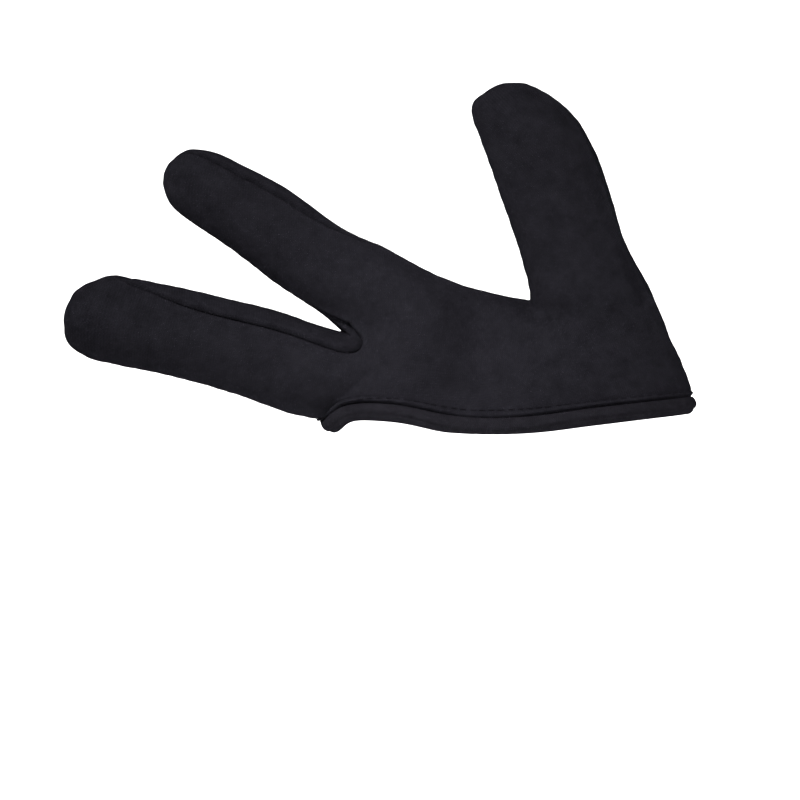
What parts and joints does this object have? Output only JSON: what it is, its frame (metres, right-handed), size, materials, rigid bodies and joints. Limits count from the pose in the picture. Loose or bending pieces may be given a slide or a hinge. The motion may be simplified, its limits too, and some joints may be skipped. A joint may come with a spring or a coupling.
{
  "type": "heat resistant styling glove",
  "caption": "Fabric glove that covers the thumb, index and middle finger, open along its lower side with a bound hem, shown as worn on a right hand.",
  "frame": {"origin": "middle of the open, bound side where the hand goes in (mount hand_entry)", "axes": "+X from the fingertips to the wrist, +Y from the palm side to the back of the hand, +Z from the open side up to the thumb"},
  "size_m": [0.1744, 0.0356, 0.0975],
  "materials": {
    "glove_fabric": "matt black knitted fabric with a faint violet cast and a soft sheen",
    "binding_fabric": "matt black folded knit binding"
  },
  "bodies": {
    "root": {"palm_panel": "glove_fabric", "back_panel": "glove_fabric", "finger_gusset": "glove_fabric", "hem_binding": "binding_fabric"}
  },
  "joints": []
}
